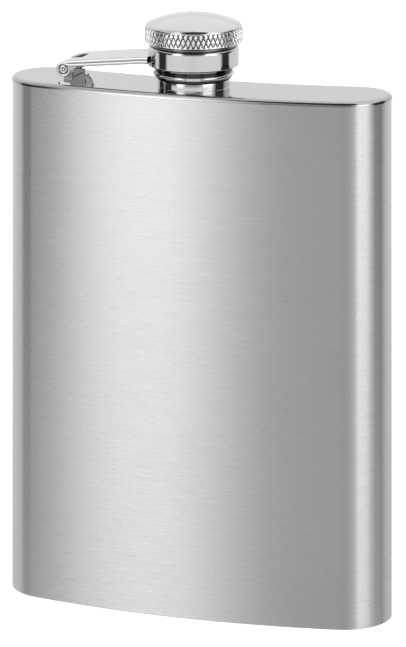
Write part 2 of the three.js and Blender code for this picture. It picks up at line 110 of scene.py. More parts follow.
def new_piece(name, points, faces, material, smooth_angle=35):
    """Object from points in millimetres, shaded smooth below the given edge angle."""
    mesh = bpy.data.meshes.new(name)
    mesh.from_pydata([tuple(Vector(p) * MM) for p in points], [], faces)
    mesh.validate()
    piece = bpy.data.objects.new(name, mesh)
    bpy.context.scene.collection.objects.link(piece)
    finish_mesh(piece, smooth_angle)
    if material:
        mesh.materials.append(material)
    return piece


def finish_mesh(piece, smooth_angle=35):
    """Faces outwards, smooth shading with sharp edges where the surface really turns."""
    mesh = piece.data
    cleaner = bmesh.new()
    cleaner.from_mesh(mesh)
    bmesh.ops.remove_doubles(cleaner, verts=cleaner.verts, dist=MERGE_DISTANCE)
    bmesh.ops.recalc_face_normals(cleaner, faces=cleaner.faces)
    cleaner.to_mesh(mesh)
    cleaner.free()
    mesh.shade_smooth()
    mesh.set_sharp_from_angle(angle=math.radians(smooth_angle))


def ring_faces(rings, count, closed):
    """Quads between neighbouring rings of count points each."""
    faces = []
    pairs = rings if closed else rings - 1
    for ring in range(pairs):
        here = ring * count
        there = ((ring + 1) % rings) * count
        for i in range(count):
            j = (i + 1) % count
            faces.append((here + i, here + j, there + j, there + i))
    return faces


def loft(name, rings, material, closed=False, smooth_angle=35):
    """Skin over rings; an open loft is capped at both ends."""
    count = len(rings[0])
    points = [p for ring in rings for p in ring]
    faces = ring_faces(len(rings), count, closed)
    if not closed:
        faces.append(tuple(range(count - 1, -1, -1)))
        last = (len(rings) - 1) * count
        faces.append(tuple(range(last, last + count)))
    return new_piece(name, points, faces, material, smooth_angle)


def circle_ring(radius_at, height_at, steps):
    """Ring about the spout axis; radius and height are functions of the angle."""
    ring = []
    for i in range(steps):
        angle = 2 * math.pi * i / steps
        radius = radius_at(angle)
        ring.append((
            radius * math.cos(angle),
            AXIS_Y + radius * math.sin(angle),
            SHOULDER_TOP + height_at(angle),
        ))
    return ring


def turned(name, profile, material, steps=160, closed=True, smooth_angle=35):
    """Body of revolution about the spout axis.

    profile lists (radius, height above the shoulder). Either may be a function of
    the angle. A closed profile is a ring with a hole; an open one is capped.
    """
    rings = []
    for radius, height in profile:
        radius_at = radius if callable(radius) else (lambda angle, r=radius: r)
        height_at = height if callable(height) else (lambda angle, h=height: h)
        rings.append(circle_ring(radius_at, height_at, steps))
    return loft(name, rings, material, closed, smooth_angle)


def rounded(corners, radii, steps=4):
    """Polygon of (a, b) corners, rounded by one radius or by a list of one for each."""
    out = []
    count = len(corners)
    nearly_straight = math.radians(89)
    for i, corner in enumerate(corners):
        here = Vector(corner)
        before = Vector(corners[i - 1]) - here
        after = Vector(corners[(i + 1) % count]) - here
        radius = radii[i] if isinstance(radii, list) else radii
        if radius <= 0:
            out.append(tuple(here))
            continue
        before.normalize()
        after.normalize()
        half = math.acos(max(-1.0, min(1.0, before.dot(after)))) / 2
        if half > nearly_straight:
            out.append(tuple(here))
            continue
        setback = radius / math.tan(half)
        start = here + before * setback
        end = here + after * setback
        centre = here + (before + after).normalized() * (radius / math.sin(half))
        spoke_a = start - centre
        spoke_b = end - centre
        turn = math.pi - 2 * half
        for k in range(steps + 1):
            share = k / steps
            weight_a = math.sin((1 - share) * turn) / math.sin(turn)
            weight_b = math.sin(share * turn) / math.sin(turn)
            out.append(tuple(centre + spoke_a * weight_a + spoke_b * weight_b))
    return out


def across(name, outline, width, material, centre_y):
    """Outline of (x, z) points, extruded along Y with softly rounded long edges."""
    edge, edge_steps = 0.12, 3
    rings = []
    for k in range(2 * (edge_steps + 1)):
        side = 1 if k > edge_steps else -1
        step = k if side < 0 else 2 * edge_steps + 1 - k
        turn = math.pi / 2 * step / edge_steps
        inset = edge * (1 - math.sin(turn))
        y_here = centre_y + side * (width / 2 - edge * (1 - math.cos(turn)))
        rings.append([(p.x, y_here, p.y) for p in inset_outline(outline, inset)])
    return loft(name, rings, material)


def inset_outline(outline, inset):
    """Moves each point of an anticlockwise outline inwards along its corner normal."""
    moved = []
    count = len(outline)
    for i in range(count):
        here = Vector(outline[i])
        before = (here - Vector(outline[i - 1])).normalized()
        after = (Vector(outline[(i + 1) % count]) - here).normalized()
        normal_a = Vector((-before.y, before.x))
        normal_b = Vector((-after.y, after.x))
        bisector = normal_a + normal_b
        length = max(0.5, bisector.length_squared / 2)
        moved.append(here + bisector / length * inset)
    return moved


def combine(base, tool, operation):
    """Boolean of two closed pieces; the tool is used up."""
    modifier = base.modifiers.new("combine", "BOOLEAN")
    modifier.operation = operation
    modifier.object = tool
    modifier.solver = "MANIFOLD"
    depsgraph = bpy.context.evaluated_depsgraph_get()
    result = bpy.data.meshes.new_from_object(base.evaluated_get(depsgraph))
    base.modifiers.clear()
    base.data = result
    bpy.data.objects.remove(tool)
    finish_mesh(base)
    return base


def box_tool(low, high):
    """Cutter shaped as a box between two corners."""
    corners = ((low[0], low[1]), (high[0], low[1]), (high[0], high[1]), (low[0], high[1]))
    rings = [[(x, y, z) for x, y in corners] for z in (low[2], high[2])]
    return loft("tool", rings, None)


# ---- Material helpers ----


class Nodes:
    """Short way to add and join shader nodes."""

    def __init__(self, tree):
        self.tree = tree
        tree.nodes.clear()

    def add(self, kind, **settings):
        """New node of a ShaderNode kind, such as "Bump"."""
        node = self.tree.nodes.new("ShaderNode" + kind)
        for key, value in settings.items():
            setattr(node, key, value)
        return node

    def feed(self, node, slot, value):
        """Joins an output socket to an input, or sets the input's own value."""
        if isinstance(value, bpy.types.NodeSocket):
            self.tree.links.new(value, node.inputs[slot])
        else:
            node.inputs[slot].default_value = value

    def put(self, node, **values):
        """Feeds inputs by name, with _ for each space in a name."""
        for name, value in values.items():
            self.feed(node, name.replace("_", " "), value)

    def math(self, operation, first, second=0.0):
        node = self.add("Math", operation=operation)
        self.feed(node, 0, first)
        self.feed(node, 1, second)
        return node.outputs[0]

    def ramp(self, value, stops):
        """Colour ramp over value with (position, grey) stops."""
        node = self.add("ValToRGB")
        ramp = node.color_ramp
        ramp.interpolation = "LINEAR"
        while len(ramp.elements) < len(stops):
            ramp.elements.new(0.5)
        for element, (position, grey) in zip(ramp.elements, stops):
            element.position = position
            element.color = (grey, grey, grey, 1)
        self.feed(node, "Fac", value)
        return node.outputs["Color"]

    def remap(self, value, low, high, to_low=0.0, to_high=1.0, smooth=False):
        """Value moved from one range to another, and kept inside it."""
        node = self.add("MapRange")
        node.interpolation_type = "SMOOTHSTEP" if smooth else "LINEAR"
        self.put(node, Value=value, From_Min=low, From_Max=high, To_Min=to_low, To_Max=to_high)
        return node.outputs["Result"]

    def noise(self, vector, scale, detail, roughness, stretch=None):
        """Noise from 0 to 1, denser along each axis by its stretch."""
        if stretch:
            mapping = self.add("Mapping", vector_type="POINT")
            self.put(mapping, Vector=vector, Scale=stretch)
            vector = mapping.outputs["Vector"]
        node = self.add("TexNoise")
        self.put(node, Vector=vector, Scale=scale, Detail=detail, Roughness=roughness)
        return node.outputs["Fac"]

    def bump(self, shader, strength, distance, height):
        """Gives the shader a bump of the height's relief, distance in millimetres."""
        node = self.add("Bump")
        self.put(node, Strength=strength, Distance=distance * MM, Height=height)
        self.put(shader, Normal=node.outputs["Normal"])


def new_material(name):
    """Material with its node helper, its shader and its object coordinates."""
    material = bpy.data.materials.new(name)
    material.use_nodes = True
    nodes = Nodes(material.node_tree)
    shader = nodes.add("BsdfPrincipled")
    output = nodes.add("OutputMaterial")
    nodes.put(output, Surface=shader.outputs["BSDF"])
    coordinates = nodes.add("TexCoord").outputs["Object"]
    return material, nodes, shader, coordinates


def grey_colour(nodes, value):
    """Neutral colour from a value socket."""
    node = nodes.add("CombineColor")
    nodes.put(node, Red=value, Green=value, Blue=value)
    return node.outputs["Color"]


# ---- Materials ----

GRAIN_COARSENESS = 0.31            # density of the coarse strokes against the fine ones
GRAIN_FINE_SHARE = 0.72
GRAIN_CONTRAST = 0.085             # how far single strokes stray from the mean grey
HAIRLINE_AXES = (400.0, 400.0, 5200.0)
SHADOW_BLEND = 0.1                 # width over which painted shade or painted light fades in
GROOVE_SHADE = 0.03                # painted shade in the bottoms of the knurling and on the turned-in lip, against the lands
DOME_SHADE = 0.65                  # the dome, against the lands of the knurling, whose brighter grey is a painted highlight
BAND_SHADE = 0.08                  # painted shade on bands of the snap ring and its groove
# Heights above the shoulder of the bands that are left free of painted shade.
BEAD_BRIGHT_LOW = 2.95
BEAD_BRIGHT_HIGH = 3.85
GROOVE_BRIGHT_HIGH = 3.45
BRACKET_SHADE = 0.34               # painted shade on the standing parts of the bracket, against its foot
BRACKET_RIGHT_PAINTED_LIGHT = 1.35         # painted light to the right of its crease, against the left


def brushed_steel(name, grain_axes, spread_axis, grey, roughness, anisotropy):
    """Steel brushed in one direction.

    grain_axes gives the density of the grain along X, Y and Z: small along the
    strokes and large across them. spread_axis is the direction, across the
    strokes, in which reflections smear.
    """
    material, nodes, shader, coordinates = new_material(name)
    fine = nodes.noise(coordinates, 1.0, 3.0, 0.6, stretch=grain_axes)
    coarse_axes = tuple(GRAIN_COARSENESS * density for density in grain_axes)
    coarse = nodes.noise(coordinates, 1.0, 2.0, 0.5, stretch=coarse_axes)
    grain = nodes.math(
        "ADD",
        nodes.math("MULTIPLY", fine, GRAIN_FINE_SHARE),
        nodes.math("MULTIPLY", coarse, 1 - GRAIN_FINE_SHARE),
    )
    handled = nodes.noise(coordinates, 45.0, 4.0, 0.6)

    shade = nodes.remap(
        grain, 0.25, 0.75, grey * (1 - GRAIN_CONTRAST), grey * (1 + GRAIN_CONTRAST),
    )
    nodes.put(shader, Base_Color=grey_colour(nodes, shade), Metallic=1.0)
    grain_roughness = nodes.remap(grain, 0.25, 0.75, roughness * 0.9, roughness * 1.1)
    smudge = nodes.remap(handled, 0.45, 0.75, 0.0, 0.03)
    nodes.put(shader, Roughness=nodes.math("ADD", grain_roughness, smudge))

    tangent = nodes.add("CombineXYZ")
    nodes.put(tangent, **dict(zip("XYZ", spread_axis)))
    nodes.put(shader, Anisotropic=anisotropy, Tangent=tangent.outputs["Vector"])
    nodes.bump(shader, 0.12, 0.02, grain)
    return material


def polished_steel(name, grey, roughness, shadow=None):
    """Buffed steel: nearly a mirror, with faint hairlines and handling marks.

    shadow is a function that gives the painted shade: how much darker each place is painted.
    """
    material, nodes, shader, coordinates = new_material(name)
    hairlines = nodes.noise(coordinates, 1.0, 3.0, 0.6, stretch=HAIRLINE_AXES)
    marks = nodes.noise(coordinates, 260.0, 4.0, 0.65)
    base = nodes.remap(marks, 0.3, 0.8, grey, grey * 0.965)
    # painted shade: the shadow function darkens the base colour
    if shadow:
        base = nodes.math("MULTIPLY", base, shadow(nodes, coordinates))
    nodes.put(
        shader,
        Base_Color=grey_colour(nodes, base),
        Metallic=1.0,
        Roughness=nodes.remap(marks, 0.35, 0.8, roughness, roughness * 1.9),
    )
    nodes.bump(shader, 0.05, 0.01, hairlines)
    return material


def split_axes(nodes, coordinates):
    """X, Y and Z sockets of a vector socket."""
    parts = nodes.add("SeparateXYZ")
    nodes.put(parts, Vector=coordinates)
    return [parts.outputs[axis] for axis in "XYZ"]


def knurl_shadow(nodes, coordinates):
    """Painted shade: the bottoms of the knurling and the cap's turned-in lip are painted dark, the
    dome a little darker than the lands.
    """
    x, y, z = split_axes(nodes, coordinates)
    y = nodes.math("SUBTRACT", y, AXIS_Y * MM)
    squares = nodes.math("ADD", nodes.math("MULTIPLY", x, x), nodes.math("MULTIPLY", y, y))
    radius = nodes.math("SQRT", squares)
    low, high = KNURL_RADIUS - 0.75 * KNURL_DEPTH, KNURL_RADIUS - 0.1 * KNURL_DEPTH
    # painted shade in the knurl grooves and on everything inside their radius, the turned-in lip
    # too
    grooves = nodes.remap(radius, low * MM, high * MM, GROOVE_SHADE, 1.0)
    dome = SHOULDER_TOP + KNURL_TOP
    above = nodes.remap(z, dome * MM, (dome + KNURL_FADE) * MM, 0.0, DOME_SHADE)
    lands = nodes.remap(z, dome * MM, (dome + KNURL_FADE) * MM, 1.0, DOME_SHADE)
    return nodes.math("MINIMUM", nodes.math("MAXIMUM", grooves, above), lands)


def band_shadow(nodes, coordinates, low, high, top):
    """Painted shade below top, apart from a band from low to high that keeps the full grey."""
    z = split_axes(nodes, coordinates)[2]
    low, high, top = (SHOULDER_TOP + height for height in (low, high, top))
    over = nodes.remap(z, top * MM, (top + SHADOW_BLEND) * MM, BAND_SHADE, 1.0)
    rising = nodes.remap(z, (low - SHADOW_BLEND) * MM, low * MM, BAND_SHADE, 1.0)
    falling = nodes.remap(z, high * MM, (high + SHADOW_BLEND) * MM, 1.0, BAND_SHADE)
    return nodes.math("MAXIMUM", over, nodes.math("MINIMUM", rising, falling))


def groove_shadow(nodes, coordinates):
    """Painted shade in the snap ring's groove round the threaded insert, apart from a band low in
    it.
    """
    return band_shadow(nodes, coordinates, BEAD_BRIGHT_LOW, GROOVE_BRIGHT_HIGH, RING_TOP)


def ring_shadow(nodes, coordinates):
    """Painted shade on the snap ring, apart from its round bead."""
    return band_shadow(nodes, coordinates, BEAD_BRIGHT_LOW, BEAD_BRIGHT_HIGH, RING_TOP + 1)


def bracket_shadow(nodes, coordinates):
    """Painted shade on the bracket's standing parts, which are darker than its foot, and painted
    light to the right of its crease.
    """
    x, _, z = split_axes(nodes, coordinates)
    foot = SHOULDER_TOP + FOOT_SHEET
    raised = nodes.remap(z, foot * MM, (foot + SHADOW_BLEND) * MM, 1.0, BRACKET_SHADE)
    ear = nodes.remap(x, (EAR_LEFT - 0.4) * MM, EAR_LEFT * MM, 1.0, BRACKET_SHADE)
    standing = nodes.math("MINIMUM", raised, ear)
    # painted light to the right of the crease
    right = nodes.remap(
        x, CREASE_X * MM, (CREASE_X + 2 * SHADOW_BLEND) * MM, 1.0, BRACKET_RIGHT_PAINTED_LIGHT,
    )
    return nodes.math("MULTIPLY", standing, right)


def silicone(name, colour):
    """Slightly cloudy, matt seal rubber with a moulded skin."""
    material, nodes, shader, coordinates = new_material(name)
    skin = nodes.noise(coordinates, 900.0, 3.0, 0.6)
    nodes.put(
        shader,
        Base_Color=colour,
        Roughness=nodes.remap(skin, 0.3, 0.7, 0.45, 0.6),
        Subsurface_Weight=0.15,
        Subsurface_Scale=0.001,
    )
    nodes.bump(shader, 0.1, 0.03, skin)
    return material


BODY_STEEL = brushed_steel(
    "body_brushed_steel", grain_axes=(420.0, 420.0, 5600.0), spread_axis=(0, 0, 1),
    grey=0.6, roughness=0.26, anisotropy=0.92,
)
BASE_STEEL = brushed_steel(
    "base_brushed_steel", grain_axes=(22.0, 4200.0, 22.0), spread_axis=(0, 1, 0),
    grey=0.62, roughness=0.3, anisotropy=0.6,
)
PLATE_STEEL = polished_steel("plate_polished_steel", grey=0.45, roughness=0.05)
CAP_STEEL = polished_steel("cap_polished_steel", grey=0.6, roughness=0.06)
# Grey 0.95 paints the knurled lands brighter than the cap's other steel, a painted highlight;
# knurl_shadow adds painted shade.
KNURLED_STEEL = polished_steel("cap_knurled_steel", grey=0.95, roughness=0.06, shadow=knurl_shadow)
INSERT_STEEL = polished_steel("cap_insert_steel", grey=0.6, roughness=0.08, shadow=groove_shadow)
RING_STEEL = polished_steel("snap_ring_steel", grey=0.62, roughness=0.08, shadow=ring_shadow)
HINGE_STEEL = polished_steel("hinge_polished_steel", grey=0.54, roughness=0.07)
# The bracket's satin steel carries painted shade on its standing parts and painted light right of
# the crease.
BRACKET_STEEL = polished_steel(
    "bracket_satin_steel", grey=0.54, roughness=0.2, shadow=bracket_shadow,
)
SEAL = silicone("seal_silicone", (0.8, 0.79, 0.75, 1))

# ---- Body section ----


def arc(centre_x, centre_y, radius, start, end, steps):
    """Points from start up to, not including, end."""
    points = []
    for i in range(steps):
        angle = start + (end - start) * i / steps
        points.append((
            centre_x + radius * math.cos(angle), centre_y + radius * math.sin(angle),
        ))
    return points


def kidney(inset):
    """The body's outline in plan, moved inwards by inset, anticlockwise."""
    long_steps, corner_steps = 64, 24
    front_y = -BODY_THICKNESS / 2 + FRONT_RADIUS
    back_y = BODY_THICKNESS / 2 + BACK_RADIUS
    front_x = BODY_WIDTH / 2 - FRONT_CORNER_RADIUS
    back_x = BODY_WIDTH / 2 - BACK_CORNER_RADIUS
    front_corner_y = front_y - math.sqrt((FRONT_RADIUS - FRONT_CORNER_RADIUS) ** 2 - front_x ** 2)
    back_corner_y = back_y - math.sqrt((BACK_RADIUS + BACK_CORNER_RADIUS) ** 2 - back_x ** 2)
    front_half = math.atan2(front_x, front_y - front_corner_y)
    back_half = math.atan2(back_x, back_y - back_corner_y)
    quarter = math.pi / 2
    front_corner = FRONT_CORNER_RADIUS - inset
    back_corner = BACK_CORNER_RADIUS - inset
    outline = arc(
        0, front_y, FRONT_RADIUS - inset, -quarter - front_half, -quarter + front_half, long_steps,
    )
    outline += arc(front_x, front_corner_y, front_corner, -quarter + front_half, 0, corner_steps)
    outline += arc(back_x, back_corner_y, back_corner, 0, quarter + back_half, corner_steps)
    outline += arc(
        0, back_y, BACK_RADIUS + inset, -quarter + back_half, -quarter - back_half, long_steps,
    )
    outline += arc(
        -back_x, back_corner_y, back_corner, quarter - back_half, math.pi, corner_steps,
    )
    outline += arc(
        -front_x, front_corner_y, front_corner, math.pi, 3 * quarter - front_half, corner_steps,
    )
    return outline


def kidney_ring(inset, height):
    """The outline at a height, in the body's own frame."""
    return [(x, y + AXIS_Y, height) for x, y in kidney(inset)]


def kidney_loft(name, profile, material, closed=False):
    """Skin over kidney rings listed as (inset, height)."""
    rings = [kidney_ring(inset, height) for inset, height in profile]
    return loft(name, rings, material, closed)


# ---- Body pieces ----


def body_sleeve():
    """Thin rolled sheet with a slightly broken edge at both ends."""
    broken_edge = 0.15
    profile = rounded(
        [(0, 0), (0, SEAM_HEIGHT), (SLEEVE_SHEET, SEAM_HEIGHT), (SLEEVE_SHEET, 0)],
        broken_edge, 3,
    )
    return kidney_loft("body_shell", profile, BODY_STEEL, closed=True)


def shoulder_plate():
    """Flat top with a rolled rim and a skirt inside the sleeve."""
    plug = SLEEVE_SHEET + SEAM_GAP
    rim_steps = 14
    rim_foot = SEAM_HEIGHT + 0.02
    profile = [
        (plug + PLUG_SHEET + PLUG_CORNER, SHOULDER_TOP - SHOULDER_SHEET),
        (plug + PLUG_SHEET, SHOULDER_TOP - SHOULDER_SHEET - 0.4),
        (plug + PLUG_SHEET, SEAM_HEIGHT - PLUG_DEPTH),
        (plug, SEAM_HEIGHT - PLUG_DEPTH),
        (plug, rim_foot),
        (-RIM_PROUD + 0.12, rim_foot),
    ]
    for i in range(rim_steps + 1):
        turn = math.pi / 2 * i / rim_steps
        profile.append((
            -RIM_PROUD + RIM_RADIUS * (1 - math.cos(turn)),
            SEAM_HEIGHT + RIM_RADIUS * math.sin(turn),
        ))
    profile.append((RIM_RADIUS, SHOULDER_TOP))
    profile.append((RIM_RADIUS + 0.6, SHOULDER_TOP))
    plate = kidney_loft("shoulder_top", profile, PLATE_STEEL)
    hole_radius = SPOUT_TUBE + SEAM_GAP
    hole = turned("tool", [(hole_radius, -4), (hole_radius, 4)], None, 96, closed=False)
    return combine(plate, hole, "DIFFERENCE")


def base_plate():
    """Plate flush with the sleeve's lower edge, pressed in to leave a standing land."""
    plug = SLEEVE_SHEET + SEAM_GAP
    dish = plug + BASE_LAND
    slope, slope_steps = 1.2, 8
    middle = dish + slope + 0.6
    chamfer = 0.12
    outside = [
        (plug + PLUG_SHEET + PLUG_CORNER, BASE_SHEET),
        (plug + PLUG_SHEET, BASE_SHEET + 0.4),
        (plug + PLUG_SHEET, PLUG_DEPTH),
        (plug, PLUG_DEPTH),
        (plug, chamfer),
        (plug + chamfer, 0),
        (dish - 0.5, 0),
    ]
    for i in range(slope_steps + 1):
        share = i / slope_steps
        rise = 0.5 - 0.5 * math.cos(math.pi * share)
        outside.append((dish + slope * share, BASE_DISH * rise))
    outside.append((middle, BASE_DISH))
    inside = [
        (dish - 0.2, BASE_SHEET),
        (dish + slope - 0.2, BASE_DISH + BASE_SHEET),
        (middle, BASE_DISH + BASE_SHEET),
    ]
    return kidney_loft("base_disc", outside[::-1] + inside, BASE_STEEL)


# ---- Spout ----

SPOUT_BORE = 5.9
SPOUT_TUBE = 6.95
SPOUT_FOOT = (SPOUT_HIGH.x - SPOUT_LOW.x) / 2
SPOUT_FOOT_HEIGHT = 2.15
WELD_HEIGHT = 0.45                 # fine line round the foot just over the plate
SPOUT_TOP = SPOUT_HIGH.z - SHOULDER_TOP
SPOUT_SPIGOT = SHOULDER_TOP - SPOUT_LOW.z
SPOUT_THREAD_START = 4.2
THREAD_STAND = 0.45
THREAD_PITCH = 2.2
THREAD_TURNS = 1.5
THREAD_HALF_WIDTH = 0.62
THREAD_RUN_OUT = 0.06              # part of a turn over which each end dies away


def thread_height(angle, height, start):
    """How far a rolled thread stands out at this place, zero between its turns."""
    best = 0.0
    for turn in range(-1, 3):
        along = angle / (2 * math.pi) + turn
        if not 0 <= along <= THREAD_TURNS:
            continue
        offset = (height - start - THREAD_PITCH * along) / THREAD_HALF_WIDTH
        if abs(offset) >= 1:
            continue
        ends = min(1.0, along / THREAD_RUN_OUT, (THREAD_TURNS - along) / THREAD_RUN_OUT)
        best = max(best, ends * (0.5 + 0.5 * math.cos(math.pi * offset)))
    return THREAD_STAND * best


def threaded_wall(radius, start, low, high, rows, sign):
    """Rows of a wall that carries a thread; sign is +1 outwards and -1 inwards."""
    profile = []
    for i in range(rows + 1):
        height = low + (high - low) * i / rows
        profile.append((
            lambda angle, h=height: radius + sign * thread_height(angle, h, start),
            height,
        ))
    return profile


def neck_spout():
    """Threaded tube with a wider foot, a weld line round the foot and a rounded lip."""
    lip, lip_middle = 0.3, 0.09
    foot_edge, foot_middle = 0.25, 0.07
    groove = 0.08
    fillet = 0.15
    profile = [
        (SPOUT_BORE, -SPOUT_SPIGOT),
        (SPOUT_TUBE, -SPOUT_SPIGOT),
        (SPOUT_TUBE, 0.0),
        (SPOUT_FOOT, 0.0),
        (SPOUT_FOOT, WELD_HEIGHT - groove),
        (SPOUT_FOOT - groove, WELD_HEIGHT),
        (SPOUT_FOOT, WELD_HEIGHT + groove),
        (SPOUT_FOOT, SPOUT_FOOT_HEIGHT - foot_edge),
        (SPOUT_FOOT - foot_middle, SPOUT_FOOT_HEIGHT - foot_middle),
        (SPOUT_FOOT - foot_edge, SPOUT_FOOT_HEIGHT),
        (SPOUT_TUBE + fillet, SPOUT_FOOT_HEIGHT),
        (SPOUT_TUBE, SPOUT_FOOT_HEIGHT + fillet),
    ]
    low, high = SPOUT_FOOT_HEIGHT + 0.4, SPOUT_TOP - lip - 0.1
    profile += threaded_wall(SPOUT_TUBE, SPOUT_THREAD_START, low, high, 48, 1)
    profile += [
        (SPOUT_TUBE, SPOUT_TOP - lip),
        (SPOUT_TUBE - lip_middle, SPOUT_TOP - lip_middle),
        (SPOUT_TUBE - lip, SPOUT_TOP),
        (SPOUT_BORE + 0.1, SPOUT_TOP),
        (SPOUT_BORE, SPOUT_TOP - 0.1),
    ]
    return turned("spout", profile, CAP_STEEL)


# ---- Cap ----

KNURL_COUNT = 60
KNURL_PITCH = 2.6                  # height of one diamond
KNURL_BOTTOM = 10.85
KNURL_START = 0.25                 # height over which the grooves deepen at the bottom
HEAD_BOTTOM = HEAD_LOW.z - SHOULDER_TOP
HEAD_LIP_RADIUS = 10.75
HEAD_SHEET = 0.9
HEAD_BORE = KNURL_RADIUS - KNURL_DEPTH - HEAD_SHEET
DOME_TOP = HEAD_HIGH.z - SHOULDER_TOP
DOME_FILLET = 1.4
LAND_STEEPNESS = 2.9               # the larger, the wider the flat lands of the knurling
AXIS_HOLE = 0.02                   # profiles stop this short of the axis


def ridge(phase):
    """One at the middle of each unit of phase, falling straight to zero at its ends."""
    return 1 - 2 * abs(phase % 1.0 - 0.5)


def knurl_depth(angle, height):
    """Two crossing sets of V grooves leave diamonds with flat lands between them."""
    around = KNURL_COUNT * angle / (2 * math.pi)
    along = (height - KNURL_BOTTOM) / KNURL_PITCH
    top = min(ridge(around + along), ridge(around - along))
    above = KNURL_TOP + KNURL_FADE - height
    fade = max(0.0, min(1.0, (height - KNURL_BOTTOM) / KNURL_START, above / KNURL_FADE))
    return KNURL_DEPTH * (1 - min(1.0, LAND_STEEPNESS * top)) * fade


def dome_profile(wall_radius, wall_top, apex, fillet, fillet_steps, dome_steps):
    """Round edge over a wall and a tangent dome, down to just short of the axis."""
    reach = wall_radius - fillet
    rise = apex - wall_top
    sphere = (reach ** 2 + rise ** 2 - fillet ** 2) / (2 * (rise - fillet))
    tangency = math.atan2(reach, sphere - rise)
    points = []
    for i in range(fillet_steps):
        turn = math.pi / 2 + (tangency - math.pi / 2) * i / fillet_steps
        points.append((reach + fillet * math.sin(turn), wall_top + fillet * math.cos(turn)))
    for i in range(dome_steps):
        turn = tangency * (1 - i / dome_steps)
        points.append((sphere * math.sin(turn), apex - sphere * (1 - math.cos(turn))))
    return points + [(AXIS_HOLE, apex)]


def cap_head():
    """Pressed cover with a smooth dome over a band of diamond knurling."""
    steps = KNURL_COUNT * 8
    rows = 26
    outside = [(KNURL_RADIUS, KNURL_BOTTOM + (KNURL_TOP - KNURL_BOTTOM) * i / rows)
               for i in range(rows)]
    outside += dome_profile(KNURL_RADIUS, KNURL_TOP, DOME_TOP, DOME_FILLET, 24, 28)
    profile = [
        (HEAD_LIP_RADIUS - 0.1, HEAD_BOTTOM),
        (HEAD_LIP_RADIUS, HEAD_BOTTOM + 0.06),
        (KNURL_RADIUS - 0.06, KNURL_BOTTOM - 0.1),
    ]
    for radius, height in outside:
        profile.append((
            lambda angle, r=radius, h=height: r - knurl_depth(angle, h), height,
        ))
    inside = dome_profile(
        HEAD_BORE, KNURL_TOP, DOME_TOP - HEAD_SHEET, DOME_FILLET - HEAD_SHEET, 4, 8,
    )
    profile += reversed(inside)
    profile.append((HEAD_BORE, HEAD_BOTTOM))
    return turned("cap_cover", profile, KNURLED_STEEL, steps, smooth_angle=24)


SKIRT_RADIUS = 8.95
SKIRT_BORE = 8.3
SKIRT_BOTTOM = 2.35
SKIRT_FLANGE_BOTTOM = 10.35
SKIRT_WEB_BOTTOM = 10.6
SKIRT_WEB_TOP = 11.3
SKIRT_THREAD_START = 3.6
SKIRT_THREAD_TOP = 8.4
SEAL_RADIUS = 7.9
SEAL_BOTTOM = 8.65
SEAL_EDGE = 0.3
SEAL_HOLLOW_RADIUS = 5.3
SEAL_HOLLOW_DEPTH = 0.1
WASHER_BORE = 9.05
WASHER_RADIUS = 10.15
WASHER_BOTTOM = 10.04
WASHER_TOP = 10.2
FIT = 0.05                         # clearance between parts that are pressed together
RING_GROOVE = 8.75
RING_BOTTOM = 2.5
RING_BEAD_RADIUS = 9.5
RING_BEAD_ROUND = 0.42
RING_COVE_RADIUS = 8.95
RING_LIP_RADIUS = 9.2
RING_SPLIT = 3.6
RING_SPLIT_TURN = math.radians(18)  # where the split has come to rest


def cap_skirt():
    """Threaded insert pressed into the cover, closed above, with the snap ring's groove."""
    flange = HEAD_BORE - FIT
    corner = 0.3
    profile = [
        (AXIS_HOLE, SKIRT_WEB_TOP),
        (flange, SKIRT_WEB_TOP),
        (flange, SKIRT_FLANGE_BOTTOM),
        (SKIRT_RADIUS, SKIRT_FLANGE_BOTTOM),
        (SKIRT_RADIUS, RING_TOP + FIT),
        (RING_GROOVE, RING_TOP + FIT),
        (RING_GROOVE, SKIRT_BOTTOM + FIT),
        (SKIRT_RADIUS - 0.2, SKIRT_BOTTOM),
        (SKIRT_BORE, SKIRT_BOTTOM),
    ]
    profile += threaded_wall(
        SKIRT_BORE, SKIRT_THREAD_START, SKIRT_BOTTOM + corner, SKIRT_THREAD_TOP, 40, -1,
    )
    profile += [
        (SKIRT_BORE, SKIRT_WEB_BOTTOM - corner),
        (SKIRT_BORE - corner, SKIRT_WEB_BOTTOM),
        (AXIS_HOLE, SKIRT_WEB_BOTTOM),
    ]
    return turned("cap_insert", profile, INSERT_STEEL)


def cap_gasket():
    """Seal disc with a rounded lower edge and a shallow hollow below."""
    top = SKIRT_WEB_BOTTOM - FIT
    middle = 0.09
    slope = SEAL_HOLLOW_DEPTH
    profile = [
        (AXIS_HOLE, top),
        (SEAL_RADIUS, top),
        (SEAL_RADIUS, SEAL_BOTTOM + SEAL_EDGE),
        (SEAL_RADIUS - middle, SEAL_BOTTOM + middle),
        (SEAL_RADIUS - SEAL_EDGE, SEAL_BOTTOM),
        (SEAL_HOLLOW_RADIUS + slope, SEAL_BOTTOM),
        (SEAL_HOLLOW_RADIUS - slope, SEAL_BOTTOM + SEAL_HOLLOW_DEPTH),
        (AXIS_HOLE, SEAL_BOTTOM + SEAL_HOLLOW_DEPTH),
    ]
    return turned("seal_disc", profile, SEAL)


